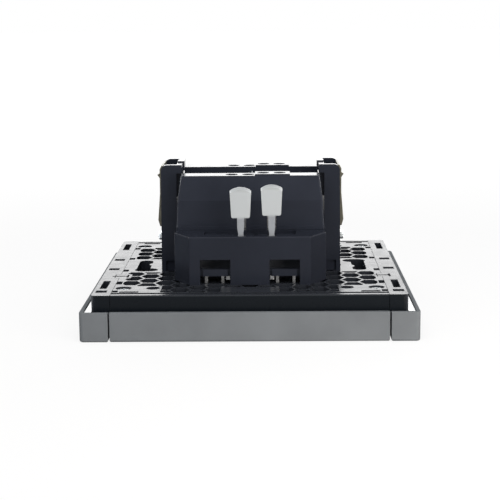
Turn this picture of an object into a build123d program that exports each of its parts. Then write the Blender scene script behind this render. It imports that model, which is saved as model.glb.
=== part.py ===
from build123d import *
import os
from math import cos, pi, radians, sin

# Illuminated light switch lying on its face, millimetres, back of the plate upward

# Grey front cover: rocker and side strips
face_size = 86.0
face_height = 7.6
face_wall = 1.8
skirt_wall = 1.4
face_edge_r = 0.5
face_corner_r = 1.2
strip_width = 7.3
strip_seam_wall = 1.2
strip_rim_wall = 1.0
strip_ledge_drop = 0.4
seam_gap = 0.4
face_sunk = 0.05
rocker_rib_x = 13.0
rocker_rib_wall = 1.0
rocker_rib_height = 0.8

# Rocker hinge at the far edge
hinge_inset = 3.38
hinge_drop = 1.55
hinge_pin_r = 1.0
hinge_pin_length = 2.4
hinge_ear_x = 24.0
hinge_ear_wall = 1.6
hinge_ear_margin = 0.35
bracket_wall = 1.8
bracket_margin = 0.7

# Light window in the rocker, and the lamp behind it
lens_inset = 6.18
lens_length = 12.0
lens_width = 1.6
lens_flange = 1.0
lens_flange_thick = 0.8
lens_stub_height = 1.4
lamp_board_length = 13.6
lamp_board_width = 6.0
lamp_board_thick = 1.0
lamp_pocket_depth = 2.7
lamp_length = 3.2
lamp_width = 1.6
lamp_height = 1.2

# Black support frame: middle plate and two side rails
frame_inset = 2.82
frame_stand = 3.87
plate_thick = 5.0
plate_inset = 0.4
plate_edge = 0.3
rail_gap = 0.1
rail_corner_r = 1.2
rail_lug_thick = 1.87
rail_lug_width = 6.4
rail_lug_margin = 2.8
rail_pocket_depth = 6.0
rail_slot_shift = 0.27
cross_slot_length = 2.85
cross_slot_width = 2.6
cross_slot_places = (-35.0, -4.95, 9.05)
long_slot_length = 10.0
long_slot_width = 1.85
long_slot_places = (-26.45, 30.0)
groove_inset = 2.54
groove_width = 1.6
groove_depth = 0.5

# Screws that hold the plate on the rails
frame_screw_inset_x = 2.55
frame_screw_inset_y = 9.18
frame_screw_head_r = 1.95
frame_screw_head_height = 1.5
frame_screw_shank_r = 1.1
frame_screw_seat = 1.9
frame_screw_bite = 1.6
frame_screw_slot = 0.6
frame_screw_slot_length = 2.4

# Honeycomb pockets and the openings of the plate
comb_pitch = 6.1
comb_column = 4.49
comb_wall = 0.6
comb_floor = 0.8
comb_margin_x = 1.8
comb_margin_y = 4.0
comb_least_area = 4.0
plain_corner_x = 9.85
plain_corner_y = 2.6
plain_hat_x = 7.4
plain_hat_y = 1.4
plain_lamp = 0.8
plate_window_x = 24.0
plate_window_y = 28.0
tool_hole_offset = 7.65
tool_hole_r = 1.8
pocket_depth = 3.0
seam_pocket_width = 1.5
seam_pockets = ((-35.05, 2.4), (-24.1, 3.8), (-7.1, 2.8), (10.6, 2.7), (27.1, 2.7))
mark_groove_x = 1.8
mark_groove_y = 4.78
mark_groove_length = 4.9
mark_groove_width = 1.5
mark_groove_depth = 0.25

# Box screw slots, one each side, turned half round from each other
box_screw_spacing = 60.0
hat_width = 3.8
hat_reach = 7.8
hat_brim_length = 6.4
hat_brim_width = 4.2
hat_brim_x = 0.95
hat_brim_y = 6.2
hat_bite_r = 2.1
hat_bite_x = 3.3
hat_bite_y = 1.8

# Seam clips between plate and rails
clip_y = 15.1
clip_slit = 0.85
clip_slit_length = 4.2
clip_slit_depth = 1.5
clip_bar_length = 3.6
clip_bar_width = 0.55
tongue_reach = 1.2
tongue_width = 4.6
tab_reach = 3.1
tab_width = 6.4

# Mechanism housing: lower block
block_width = 40.2
block_depth = 55.3
block_corner_x = 4.25
block_corner_y = 7.15
block_height = 12.75
block_wall = 1.6
block_edge_r = 0.4
ledge_thick = 1.6
ledge_lip = 0.8
ledge_hole_x = 1.5
ledge_hole_width = 1.4
ledge_hole_length = 3.4
recess_x = 24.2
recess_near = 4.1
recess_far = 10.6
recess_depth = 0.8
window_inner_x = 5.1
window_outer_x = 13.05
window_height = 6.7
crossbar_low = 2.2
crossbar_height = 1.83
crossbar_inset = 0.8
crossbar_thick = 1.4
crossbar_end = 0.7
crossbar_tie = 0.9

# Mechanism housing: towers that guide the claws
tower_depth = 4.45
tower_y = 8.5
tower_wall = 1.5
tower_web = 0.7
tower_draft = 0.25
tower_rise = 2.4
tower_corner_r = 1.6
hook_reach = 0.05
hook_gap = 0.1
wedge_gap = 0.2
hook_root = 1.2
hook_rib_y = 2.0
hook_rib_proud = 0.35
tower_notch_inset = 0.7
tower_notch_width = 2.55
tower_notch_height = 3.0
tower_notch_depth = 0.7

# Terminal cover: upper block
cover_inset = 0.2
cover_depth = 31.0
cover_shoulder = 7.78
cover_draft = 0.4
cover_slope = 6.45
cover_top_draft = 0.8
cover_slope_run = 2.0
cover_corner_r = 0.6
cover_wall = 1.7
cover_plinth = 0.25
cover_plinth_height = 0.9
ridge_width = 6.1
channel_depth = 4.3
channel_floor = 1.6
ridge_wall = 0.85
wire_guide = 4.0
step_rise = 0.43
step_shift = 0.25
step_width = 9.4
channel_rib_x = -0.3
channel_rib_wall = 0.8
channel_rib_drop = 1.2

# Terminals: two wire holes, a spring and a bar behind each lever
terminal_left_x = -2.75
terminal_right_x = 5.75
wire_hole_r = 1.65
wire_hole_inset = 3.1
wire_hole_spread = 2.22
terminal_width = 7.8
terminal_fit = 0.05
bar_thick = 0.5
bar_top_gap = 0.5
bar_drop = 3.7
spring_thick = 0.4
spring_blade_drop = 4.0
spring_knee_drop = 0.6
spring_bend = 1.4
spring_bend_rise = 0.9
spring_tail_rise = 0.8
spring_tail_gap = 0.5
contact_tab_thick = 0.6
contact_tab_width = 3.2
contact_r = 1.2
contact_thick = 0.6
contact_y = 7.0
contact_gap = 0.12

# Release levers
lever_left_x = -2.36
lever_right_x = 5.75
lever_inset = 2.75
lever_axis_drop = 1.7
lever_thick = 1.4
lever_paddle_low = 4.6
lever_paddle_height = 8.0
lever_top_width = 5.6
lever_bottom_width = 4.85
lever_crown = 0.9
lever_bevel = 0.55
lever_foot_r = 0.5
lever_stem_width = 1.8
lever_neck_width = 1.3
lever_neck_rise = 0.4
lever_neck_length = 1.6
lever_right_lift = 0.6
lever_pin_r = 0.8
lever_pin_length = 4.8
lever_pin_gap = 0.3
lever_arm_thick = 1.0
lever_arm_length = 3.9
lever_swing = 20.0
lever_boss_wall = 0.55
lever_boss_height = 1.7
lever_slot_gap = 0.35
lever_slot_front = 1.0
lever_slot_back = 1.0
lever_cover_slot_height = 5.8

# Claws and their screws
claw_screw_inset = 1.15
claw_screw_r = 1.45
claw_screw_gap = 0.3
claw_screw_reach = 2.6
claw_screw_slot = 0.8
claw_screw_slot_length = 3.4
claw_head_r = 2.8
claw_head_height = 2.0
claw_head_gap = 0.3
claw_head_seat = 2.7
claw_thick = 1.0
claw_foot_rise = 12.73
claw_foot_reach = 2.25
claw_bulge = 2.05
claw_bulge_rise = 1.25
claw_leg_proud = 0.3
claw_leg_length = 7.5
claw_top_drop = 0.4
claw_side_gap = 0.6
claw_tooth_reach = 0.65
claw_tooth_drop = 2.5
claw_tooth_height = 1.6
claw_tooth_width = 2.2
claw_window_gap = 0.5
claw_window_rise = 1.2

# Switching parts inside the housing
inner_cover_thick = 1.5
inner_cover_depth = 38.0
inner_cover_fit = 0.1
plunger_r = 3.0
plunger_gap = 0.35
plunger_head_r = 4.7
plunger_head_height = 1.4
plunger_rest = 0.1
plunger_rise = 3.83
finger_length = 1.2
finger_width = 4.0
finger_thick = 1.6
boss_r = 2.0
boss_height = 3.4
spring_wire_r = 0.35
spring_turns = 4
spring_steps = 16
spring_wire_sides = 8
spring_seat = 0.05
cradle_clear = 1.9
cradle_width = 7.0
cradle_depth = 8.0
cradle_below = 1.1
cradle_above = 1.5
cradle_pit_r = 1.0
cradle_pit_y = 2.2
cradle_pin_r = 0.9
cradle_pin_gap = 0.3
cradle_pin_length = 2.3
cradle_tilt = 7.0
post_gap = 1.1
post_wall = 1.4
post_depth = 4.4
blade_thick = 0.5
blade_width = 2.8
blade_length = 17.0

# Steel latch springs in the windows
latch_outer_inset = 1.07
latch_inner_inset = 1.65
latch_leg_width = 0.88
latch_thick = 0.6
latch_gap = 0.2
latch_bridge = 1.0
latch_tab_inset = 0.1
latch_tab_gap = 0.4
latch_tab_low = 1.05
latch_tab_height = 1.1
latch_tab_depth = 1.5

# Places worked out from the sizes above
face_half = face_size / 2
seam_x = face_half - strip_width
rocker_half_x = seam_x - seam_gap
rocker_floor = face_sunk + face_wall
frame_half = face_half - frame_inset
frame_back = face_height + frame_stand
plate_front = frame_back - plate_thick
plate_half_x = seam_x - plate_inset
rail_x = plate_half_x + rail_gap
lug_low = plate_front - rail_lug_thick
hinge_y = frame_half - hinge_inset
hinge_z = plate_front - hinge_drop
lens_y = -frame_half + lens_inset
frame_screw_x = plate_half_x - frame_screw_inset_x
frame_screw_y = frame_half - frame_screw_inset_y
box_screw_x = box_screw_spacing / 2
block_half_x = block_width / 2
block_half_y = block_depth / 2
ledge_z = frame_back + block_height
ledge_low = ledge_z - ledge_thick
cover_width = block_width - 2 * cover_inset
shoulder_width = cover_width - 2 * cover_draft
cover_top_width = shoulder_width - 2 * cover_top_draft
cover_top_depth = cover_depth - 2 * cover_slope_run
cover_inner_x = shoulder_width / 2 - cover_wall
cover_inner_y = cover_depth / 2 - cover_wall
shoulder_z = ledge_z + cover_shoulder
top_z = shoulder_z + cover_slope
tower_x = block_half_x + tower_depth
tower_top = top_z + tower_rise
hook_z = top_z + hook_gap
chamber_z = top_z - wire_guide
ridge_y = cover_top_depth / 2 - ridge_width
wire_hole_y = ridge_y + wire_hole_inset
bar_y = ridge_y + ridge_wall + terminal_fit
spring_y = wire_hole_y + wire_hole_r + terminal_fit
lever_y = -block_half_y + lever_inset
lever_axis_z = ledge_z - lever_axis_drop
lever_arm_low = lever_axis_z - lever_arm_length
lever_sweep = lever_arm_length * sin(radians(lever_swing))
spring_tail_y = -lever_y - lever_arm_thick / 2 - lever_sweep - spring_tail_gap
claw_screw_x = tower_x - claw_screw_inset
claw_foot_z = frame_back + claw_foot_rise
claw_screw_top = claw_foot_z + claw_screw_reach
inner_cover_top = frame_back + inner_cover_thick
plunger_low = rocker_floor + boss_height + plunger_rest
plunger_top = frame_back + plunger_rise
cradle_axis_z = plunger_top + finger_length + cradle_clear + cradle_below
terminals = {"left": terminal_left_x, "right": terminal_right_x}
levers = {"left": lever_left_x, "right": lever_right_x}


def span(x0, x1, y0, y1, z0, z1):
    return Pos((x0 + x1) / 2, (y0 + y1) / 2, (z0 + z1) / 2) * Box(x1 - x0, y1 - y0, z1 - z0)


def upright(x, y, r, z0, z1):
    return Pos(x, y, (z0 + z1) / 2) * Cylinder(r, z1 - z0)


def crosswise(x0, x1, y, z, r):
    return extrude(Plane.YZ.offset(x0) * Pos(y, z) * Circle(r), x1 - x0)


def four_corners(x, y):
    return [(x, y), (-x, y), (x, -y), (-x, -y)]


# Outline of a bent strip: its centre line moved half a thickness to each side
def bent_strip(points, thick):
    sides = ([], [])
    last = len(points) - 1
    for i, (u, v) in enumerate(points):
        u0, v0 = points[max(i - 1, 0)]
        u1, v1 = points[min(i + 1, last)]
        into = Vector(u - u0, v - v0) if i else Vector(u1 - u, v1 - v)
        away = Vector(u1 - u, v1 - v) if i < last else into
        normal = Vector(-into.Y, into.X).normalized() + Vector(-away.Y, away.X).normalized()
        normal = normal * (thick / normal.dot(normal))
        sides[0].append((u + normal.X, v + normal.Y))
        sides[1].append((u - normal.X, v - normal.Y))
    return Polygon(*sides[0], *reversed(sides[1]), align=None)


# Grey rocker: flat face with end skirts, hinge ears and a push boss
def make_rocker():
    face = Pos(0, 0, face_sunk) * Rectangle(2 * rocker_half_x, face_size)
    rocker = extrude(face, face_height - face_sunk)
    rocker = fillet(rocker.faces().sort_by(Axis.Z)[0].edges(), face_edge_r)
    open_y = face_half - skirt_wall
    rocker -= span(-face_half, face_half, -open_y, open_y, rocker_floor, face_height + 1)
    for x in (-rocker_rib_x, rocker_rib_x):
        rib_x = x - rocker_rib_wall / 2
        rib_top = rocker_floor + rocker_rib_height
        rocker += span(rib_x, rib_x + rocker_rib_wall, -open_y, open_y, rocker_floor, rib_top)
    boss = upright(0, 0, boss_r, rocker_floor - face_wall / 2, rocker_floor + boss_height)
    rocker += chamfer(boss.faces().sort_by(Axis.Z)[-1].edges(), boss_r / 3)
    ear_r = hinge_pin_r + hinge_ear_margin
    ear_low = face_sunk + face_wall / 2
    for side in (-1, 1):
        ear = Pos(hinge_y, hinge_z) * Circle(ear_r)
        ear += Pos(hinge_y, (hinge_z + ear_low) / 2) * Rectangle(2 * ear_r, hinge_z - ear_low)
        start = side * hinge_ear_x
        rocker += extrude(Plane.YZ.offset(start) * ear, side * hinge_ear_wall)
        pin = Plane.YZ.offset(start) * Pos(hinge_y, hinge_z) * Circle(hinge_pin_r)
        rocker += extrude(pin, side * (hinge_ear_wall + hinge_pin_length))
    slot = Pos(0, lens_y) * SlotOverall(lens_length, lens_width)
    rocker -= extrude(slot, rocker_floor + 1)
    return rocker


# Clear window pressed into the rocker from behind, with a stub that collects the light
def make_light_lens():
    fit = 2 * terminal_fit
    window = Pos(0, lens_y, face_sunk) * SlotOverall(lens_length - fit, lens_width - fit)
    flange = SlotOverall(lens_length + 2 * lens_flange, lens_width + 2 * lens_flange)
    flange = Pos(0, lens_y, rocker_floor) * flange
    lens = extrude(window, face_wall + lens_flange_thick + lens_stub_height)
    return lens + extrude(flange, lens_flange_thick)


# Grey side strip: tray with an outer rim that clips over the rail
def make_side_strip():
    outline = Pos(seam_x + strip_width / 2, 0) * Rectangle(strip_width, face_size)
    strip = extrude(outline, face_height)
    strip = fillet(strip.edges().filter_by(Axis.Z).sort_by(Axis.X)[-2:], face_corner_r)
    strip = fillet(strip.faces().sort_by(Axis.Z)[0].edges(), face_edge_r)
    reach = frame_half + rail_gap
    strip -= span(seam_x + strip_seam_wall, reach, -reach, reach, face_wall, face_height + 1)
    strip -= span(seam_x - 1, reach, -reach, reach, lug_low - rail_gap, face_height + 1)
    rim = face_half - strip_rim_wall
    strip -= span(seam_x - 1, rim, -rim, rim, face_height - strip_ledge_drop, face_height + 1)
    return strip


# Black side rail: hollow-backed strip with slots, and lugs that carry the plate
def make_side_rail(clip_in_rail):
    web_x = seam_x + strip_seam_wall + rail_gap
    section = Polygon(
        (rail_x, lug_low), (web_x, lug_low), (web_x, face_wall),
        (frame_half, face_wall), (frame_half, frame_back), (rail_x, frame_back), align=None)
    rail = extrude(Plane.XZ * section, frame_half, both=True)
    rail = fillet(rail.edges().filter_by(Axis.Z).sort_by(Axis.X)[-2:], rail_corner_r)
    lug_in = frame_screw_x - rail_lug_margin
    for y in (-frame_screw_y, frame_screw_y):
        lug = Pos((lug_in + web_x) / 2, y, lug_low) * RectangleRounded(web_x - lug_in, rail_lug_width, 1.0)
        rail += extrude(lug, rail_lug_thick)
        rail -= upright(frame_screw_x, y, frame_screw_shank_r + terminal_fit, lug_low - 1, plate_front + 1)
    slot_x = (rail_x + frame_half) / 2 + rail_slot_shift
    cross_slots = [(y, cross_slot_length, cross_slot_width) for y in cross_slot_places]
    long_slots = [(y, long_slot_width, long_slot_length) for y in long_slot_places]
    for y, size_x, size_y in cross_slots + long_slots:
        rail -= Pos(slot_x, y, frame_back) * Box(size_x, size_y, 2 * rail_pocket_depth)
    if clip_in_rail:
        rail += seam_tongue(rail_x, -tongue_reach, 0)
    else:
        rail -= seam_tongue(rail_x - rail_gap, tongue_reach + 2 * rail_gap, rail_gap)
    slit_end = plate_half_x + clip_slit_length / 2
    slit_y = -clip_y - clip_slit / 2
    slit_floor = frame_back - clip_slit_depth
    rail -= span(rail_x - clip_slit_length, slit_end, slit_y, slit_y + clip_slit, slit_floor, frame_back + 1)
    if clip_in_rail:
        rail -= Pos(slit_end, -clip_y, frame_back) * Box(clip_bar_width, clip_bar_length, 2 * clip_slit_depth)
    return rail


# Short tongue at the seam clip, taken from one side of the seam and given to the other
def seam_tongue(x, reach, margin):
    half = tongue_width / 2 + margin
    near, far = sorted((x, x + reach))
    return span(near, far, -clip_y - half, -clip_y + half, plate_front - margin, frame_back)


# Pan head screws that hold the plate down on the lugs of the rails
def make_frame_screws():
    seat = frame_back - frame_screw_seat
    long = frame_screw_slot_length
    screws = []
    for x, y in four_corners(frame_screw_x, frame_screw_y):
        head = upright(x, y, frame_screw_head_r, seat, seat + frame_screw_head_height)
        head = chamfer(head.faces().sort_by(Axis.Z)[-1].edges(), frame_screw_head_r / 4)
        top = seat + frame_screw_head_height
        for length, width in ((long, frame_screw_slot), (frame_screw_slot, long)):
            head -= Pos(x, y, top) * Box(length, width, frame_screw_head_height)
        screws.append(head + upright(x, y, frame_screw_shank_r, plate_front - frame_screw_bite, seat))
    return Compound(children=screws)


# Region of the plate that carries honeycomb pockets
def comb_region():
    region = Rectangle(2 * (plate_half_x - comb_margin_x), 2 * (frame_half - comb_margin_y))
    corner_x = frame_screw_x - plain_corner_x
    corner_y = frame_screw_y - plain_corner_y
    for x, y in four_corners((corner_x + face_half) / 2, (corner_y + face_half) / 2):
        region -= Pos(x, y) * Rectangle(face_half - corner_x, face_half - corner_y)
    hat_x = box_screw_x - plain_hat_x
    hat_y = max(hat_reach, hat_brim_y + hat_brim_width / 2) + plain_hat_y
    for side in (-1, 1):
        region -= Pos(side * (hat_x + face_half) / 2, 0) * Rectangle(face_half - hat_x, 2 * hat_y)
        region -= Pos(side * claw_screw_x, 0) * Circle(claw_head_r + claw_head_gap + comb_wall)
    lamp_x = lamp_board_length / 2 + plain_lamp
    lamp_y = lens_y + lamp_board_width / 2 + plain_lamp
    region -= Pos(0, (lamp_y - face_half) / 2) * Rectangle(2 * lamp_x, lamp_y + face_half)
    tab = RectangleRounded(2 * tab_reach, tab_width, tab_reach / 2)
    region -= Pos(-plate_half_x, -clip_y) * tab
    return region - Rectangle(block_width - 2 * block_wall, block_depth - 2 * block_wall)


# Honeycomb cells that fall in the region, each shrunk by half a wall
def comb_cells():
    tip = 2 * comb_column / 3
    flat = comb_column / 3
    high = comb_pitch / 2
    corners = [(tip, 0), (flat, high), (-flat, high), (-tip, 0), (-flat, -high), (flat, -high)]
    shape = Polygon(*corners, align=None)
    shape = offset(shape, -comb_wall / 2, kind=Kind.INTERSECTION)
    columns = int(plate_half_x / comb_column) + 1
    rows = int(frame_half / comb_pitch) + 1
    region = comb_region()
    cells = []
    for column in range(-columns, columns + 1):
        for row in range(-rows, rows + 1):
            y = comb_pitch * (row + (0.5 if column % 2 == 0 else 0.0))
            cell = (Pos(column * comb_column, y) * shape) & region
            cells += [face for face in cell.faces() if face.area > comb_least_area] if cell else []
    return cells


# Slot for a wall box screw: a round-ended throat over a wider brim
def hat_slot():
    throat_low = -hat_brim_y - hat_brim_width / 2 + hat_width / 2
    throat = SlotOverall(hat_reach - throat_low, hat_width, rotation=90)
    throat = Pos(0, (hat_reach + throat_low) / 2) * throat
    brim = Pos(hat_brim_x, -hat_brim_y) * SlotOverall(hat_brim_length, hat_brim_width)
    return throat - Pos(hat_bite_x, hat_bite_y) * Circle(hat_bite_r) + brim


# Black middle plate: honeycomb moulding that carries the mechanism
def make_support_plate():
    plate = span(-plate_half_x, plate_half_x, -frame_half, frame_half, plate_front, frame_back)
    rims = plate.edges().filter_by(Axis.X).group_by(Axis.Z)[-1]
    plate = chamfer(rims, plate_edge)
    over = frame_back + 1
    plate -= extrude(Rectangle(plate_window_x, plate_window_y), over)
    for side, turn in ((-1, 0), (1, 180)):
        plate -= extrude(Pos(side * box_screw_x, 0) * Rot(0, 0, turn) * hat_slot(), over)
        plate -= upright(side * claw_screw_x, 0, claw_screw_r + claw_screw_gap, 0, over)
        plate -= upright(side * claw_screw_x, 0, claw_head_r + claw_head_gap, 0, plate_front + claw_head_seat)
    for x, y in four_corners(frame_screw_x, frame_screw_y):
        plate -= upright(x, y, frame_screw_head_r + claw_screw_gap / 2, frame_back - frame_screw_seat, over)
        plate -= upright(x, y, frame_screw_shank_r + claw_screw_gap / 2, 0, over)
    for x, y in four_corners(frame_screw_x - tool_hole_offset, frame_screw_y):
        plate -= upright(x, y, tool_hole_r, frame_back - pocket_depth, over)
    for x, y in four_corners(frame_screw_x - mark_groove_x, frame_screw_y + mark_groove_y):
        plate -= Pos(x, y, frame_back) * Box(mark_groove_length, mark_groove_width, 2 * mark_groove_depth)
    for y in (-frame_half + groove_inset, frame_half - groove_inset):
        plate -= Pos(0, y, frame_back) * Box(2 * plate_half_x, groove_width, 2 * groove_depth)
    for y, length in seam_pockets:
        for side in (-1, 1):
            middle = side * (plate_half_x - seam_pocket_width / 2)
            plate -= Pos(middle, y, frame_back) * Box(seam_pocket_width, length, 2 * pocket_depth)
    plate += seam_tongue(-plate_half_x, -tongue_reach, 0)
    plate -= seam_tongue(plate_half_x + rail_gap, -tongue_reach - 2 * rail_gap, rail_gap)
    slit = Box(clip_slit_length, clip_slit, 2 * clip_slit_depth)
    for side in (-1, 1):
        plate -= Pos(side * plate_half_x, -clip_y, frame_back) * slit
    slit_end = -plate_half_x + clip_slit_length / 2
    plate -= Pos(slit_end, -clip_y, frame_back) * Box(clip_bar_width, clip_bar_length, 2 * clip_slit_depth)
    lamp_x = lamp_board_length / 2 + rail_gap
    lamp_y = lamp_board_width / 2 + rail_gap
    plate -= span(-lamp_x, lamp_x, lens_y - lamp_y, lens_y + lamp_y, 0, plate_front + lamp_pocket_depth)
    bracket_r = hinge_pin_r + claw_screw_gap + bracket_margin
    bracket_x = hinge_ear_x + hinge_ear_wall + 2 * rail_gap
    for side in (-1, 1):
        bracket = Pos(hinge_y, hinge_z) * Circle(bracket_r)
        bracket += Pos(hinge_y, (hinge_z + plate_front) / 2) * Rectangle(2 * bracket_r, plate_front - hinge_z)
        bracket -= Pos(hinge_y, hinge_z) * Circle(hinge_pin_r + claw_screw_gap)
        plate += extrude(Plane.YZ.offset(side * bracket_x) * bracket, side * bracket_wall)
    floor = plate_front + comb_floor
    return plate - [extrude(Pos(0, 0, floor) * cell, over - floor) for cell in comb_cells()]


# Plan of the lower block: a rectangle with long chamfered corners
def block_plan():
    inner_x = block_half_x - block_corner_x
    inner_y = block_half_y - block_corner_y
    corners = [
        (inner_x, -block_half_y), (block_half_x, -inner_y),
        (block_half_x, inner_y), (inner_x, block_half_y)]
    return Polygon(*corners, *[(-x, -y) for x, y in corners], align=None)


# Pair of walls and the web between them that guide the claw on the right side
def claw_tower():
    hook_x = cover_top_width / 2 - hook_reach
    wall = Polygon(
        (block_half_x, frame_back), (tower_x, frame_back), (tower_x - tower_draft, tower_top),
        (hook_x, tower_top), (hook_x, hook_z), (block_half_x, hook_z), align=None)
    wall = fillet(wall.vertices().group_by(Axis.Y)[-1].sort_by(Axis.X)[-1], tower_corner_r)
    wall = extrude(Plane.XZ.offset(tower_y - tower_wall) * wall, tower_wall)
    notch_x = block_half_x + tower_notch_inset
    notch_z = frame_back + tower_notch_height
    notch_y = tower_notch_depth - tower_y
    wall -= span(notch_x, notch_x + tower_notch_width, -tower_y - 1, notch_y, frame_back - 1, notch_z)
    inner_y = tower_y - tower_wall
    web = span(block_half_x, block_half_x + tower_web, -inner_y, inner_y, frame_back, hook_z + hook_root)
    web += span(hook_x, block_half_x, -inner_y, inner_y, hook_z, tower_top)
    web_x = block_half_x + tower_web / 2
    wedge = Polygon(
        (shoulder_width / 2 + wedge_gap, shoulder_z), (web_x, shoulder_z),
        (web_x, hook_z + hook_gap), (cover_top_width / 2 + wedge_gap, hook_z + hook_gap), align=None)
    web += extrude(Plane.XZ * wedge, inner_y, both=True)
    rib_x = hook_x - hook_rib_proud
    web += span(rib_x, block_half_x, -hook_rib_y, hook_rib_y, hook_z, tower_top + hook_rib_proud)
    return wall + mirror(wall, about=Plane.XZ) + web


# Black housing: lower block with windows, ledge and claw towers, open towards the plate
def make_housing():
    plan = block_plan()
    housing = extrude(Pos(0, 0, frame_back) * plan, block_height)
    rounded = housing.edges().filter_by(Axis.Z) + housing.faces().sort_by(Axis.Z)[-1].edges()
    housing = fillet(rounded, block_edge_r)
    cavity = offset(plan, -block_wall, kind=Kind.INTERSECTION)
    housing -= extrude(Pos(0, 0, frame_back) * cavity, block_height - ledge_thick)
    opening = Rectangle(2 * (cover_inner_x - ledge_lip), 2 * (cover_inner_y - ledge_lip))
    housing -= extrude(Pos(0, 0, ledge_low - 1) * opening, ledge_thick + 2)
    window_x = (window_inner_x + window_outer_x) / 2
    window_width = window_outer_x - window_inner_x
    bar_low = frame_back + crossbar_low
    for end in (-1, 1):
        recess_y = end * (block_half_y - (recess_near + recess_far) / 2)
        recess = Box(recess_x, recess_far - recess_near, 2 * recess_depth)
        housing -= Pos(0, recess_y, ledge_z) * recess
        hole = SlotOverall(ledge_hole_length, ledge_hole_width, rotation=90)
        housing -= extrude(Pos(ledge_hole_x, -end * lever_y, ledge_low - 1) * hole, ledge_thick + 2)
        front = end * block_half_y
        near_y = end * (block_half_y - crossbar_inset - crossbar_thick / 2)
        tie_y = near_y + end * (crossbar_tie - crossbar_thick) / 2
        for side in (-1, 1):
            middle = side * window_x
            window = Box(window_width, 2 * block_wall + 1, 2 * window_height)
            housing -= Pos(middle, front, frame_back) * window
            bar_z = bar_low + crossbar_height / 2
            bar = Box(window_width - 2 * crossbar_end, crossbar_thick, crossbar_height)
            housing += Pos(middle, near_y, bar_z) * bar
            housing += Pos(middle, tie_y, bar_z) * Box(window_width + 1, crossbar_tie, crossbar_height)
        for x in levers.values():
            housing = lever_seat(housing, x, end)
    tower = claw_tower()
    return housing + tower + mirror(tower, about=Plane.YZ)


# Boss under the ledge with the slot and the pin bearing of one release lever
def lever_seat(housing, x, end):
    pin_reach = lever_pin_length / 2 + lever_pin_gap / 2
    boss_x = pin_reach + lever_boss_wall
    y = -end * lever_y
    near = end * (block_half_y - block_wall)
    far = y - end * (lever_thick / 2 + lever_slot_back + lever_boss_wall)
    low = ledge_low - lever_boss_height
    housing += span(x - boss_x, x + boss_x, min(near, far), max(near, far), low, ledge_low)
    slot_x = lever_stem_width / 2 + lever_slot_gap
    front = y + end * (lever_thick / 2 + lever_slot_front)
    back = y - end * (lever_thick / 2 + lever_slot_back)
    housing -= span(x - slot_x, x + slot_x, min(front, back), max(front, back), low - 1, ledge_z + 1)
    return housing - crosswise(x - pin_reach, x + pin_reach, y, lever_axis_z, lever_pin_r + lever_pin_gap)


# Black terminal cover: upper block with two ridges of wire holes
def make_terminal_cover():
    foot = Pos(0, 0, ledge_z) * RectangleRounded(cover_width, cover_depth, cover_corner_r)
    shoulder = Pos(0, 0, shoulder_z) * RectangleRounded(shoulder_width, cover_depth, cover_corner_r)
    crown = Pos(0, 0, top_z) * RectangleRounded(cover_top_width, cover_top_depth, cover_corner_r)
    cover = loft([foot, shoulder]) + loft([shoulder, crown])
    plinth = RectangleRounded(cover_width, cover_depth + 2 * cover_plinth, cover_corner_r)
    cover += extrude(Pos(0, 0, ledge_z) * plinth, cover_plinth_height)
    step = Pos(terminal_right_x + step_shift, 0, top_z - 1) * Rectangle(step_width, cover_top_depth)
    cover += extrude(step, step_rise + 1)
    channel_low = top_z - channel_depth
    cover -= span(-face_half, face_half, -ridge_y, ridge_y, channel_low, top_z + step_rise + 1)
    rib_top = top_z - channel_rib_drop
    rib_x = channel_rib_x + channel_rib_wall / 2
    cover += span(channel_rib_x - channel_rib_wall / 2, rib_x, -ridge_y, ridge_y, channel_low, rib_top)
    roof = channel_low - channel_floor
    cover -= span(-cover_inner_x, cover_inner_x, -cover_inner_y, cover_inner_y, ledge_z - 1, roof)
    chamber_x0 = terminal_left_x - terminal_width / 2 - terminal_fit
    chamber_x1 = terminal_right_x + terminal_width / 2 + terminal_fit
    chamber_y0 = bar_y - terminal_fit
    chamber_y1 = spring_y + spring_thick + terminal_fit
    slot_x = lever_stem_width / 2 + lever_slot_gap
    slot_top = ledge_z + lever_cover_slot_height
    for end in (-1, 1):
        y0, y1 = sorted((end * chamber_y0, end * chamber_y1))
        cover -= span(chamber_x0, chamber_x1, y0, y1, roof - 1, chamber_z)
        wall0, wall1 = sorted((end * (cover_inner_y - 1), end * face_half))
        for x in levers.values():
            cover -= span(x - slot_x, x + slot_x, wall0, wall1, ledge_z - 1, slot_top)
        for x in terminals.values():
            for hole_x in (x - wire_hole_spread, x + wire_hole_spread):
                cover -= upright(hole_x, end * wire_hole_y, wire_hole_r, chamber_z - 1, top_z + 2)
    return cover


# Inner cover under the mechanism: guides the plunger and carries the toggle
def make_inner_cover():
    half_x = block_half_x - block_wall - inner_cover_fit
    cover = span(-half_x, half_x, -inner_cover_depth / 2, inner_cover_depth / 2, frame_back, inner_cover_top)
    post_x = cradle_width / 2 + post_gap
    post_r = post_depth / 2
    for side in (-1, 1):
        post = Pos(0, cradle_axis_z) * Circle(cradle_pin_r + cradle_pin_gap + post_wall / 2)
        stand = Rectangle(2 * post_r, cradle_axis_z - inner_cover_top)
        post += Pos(0, (inner_cover_top + cradle_axis_z) / 2) * stand
        post -= Pos(0, cradle_axis_z) * Circle(cradle_pin_r + cradle_pin_gap)
        cover += extrude(Plane.YZ.offset(side * post_x) * post, side * post_wall)
    return cover - upright(0, 0, plunger_r + plunger_gap, frame_back - 1, inner_cover_top + 1)


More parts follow.
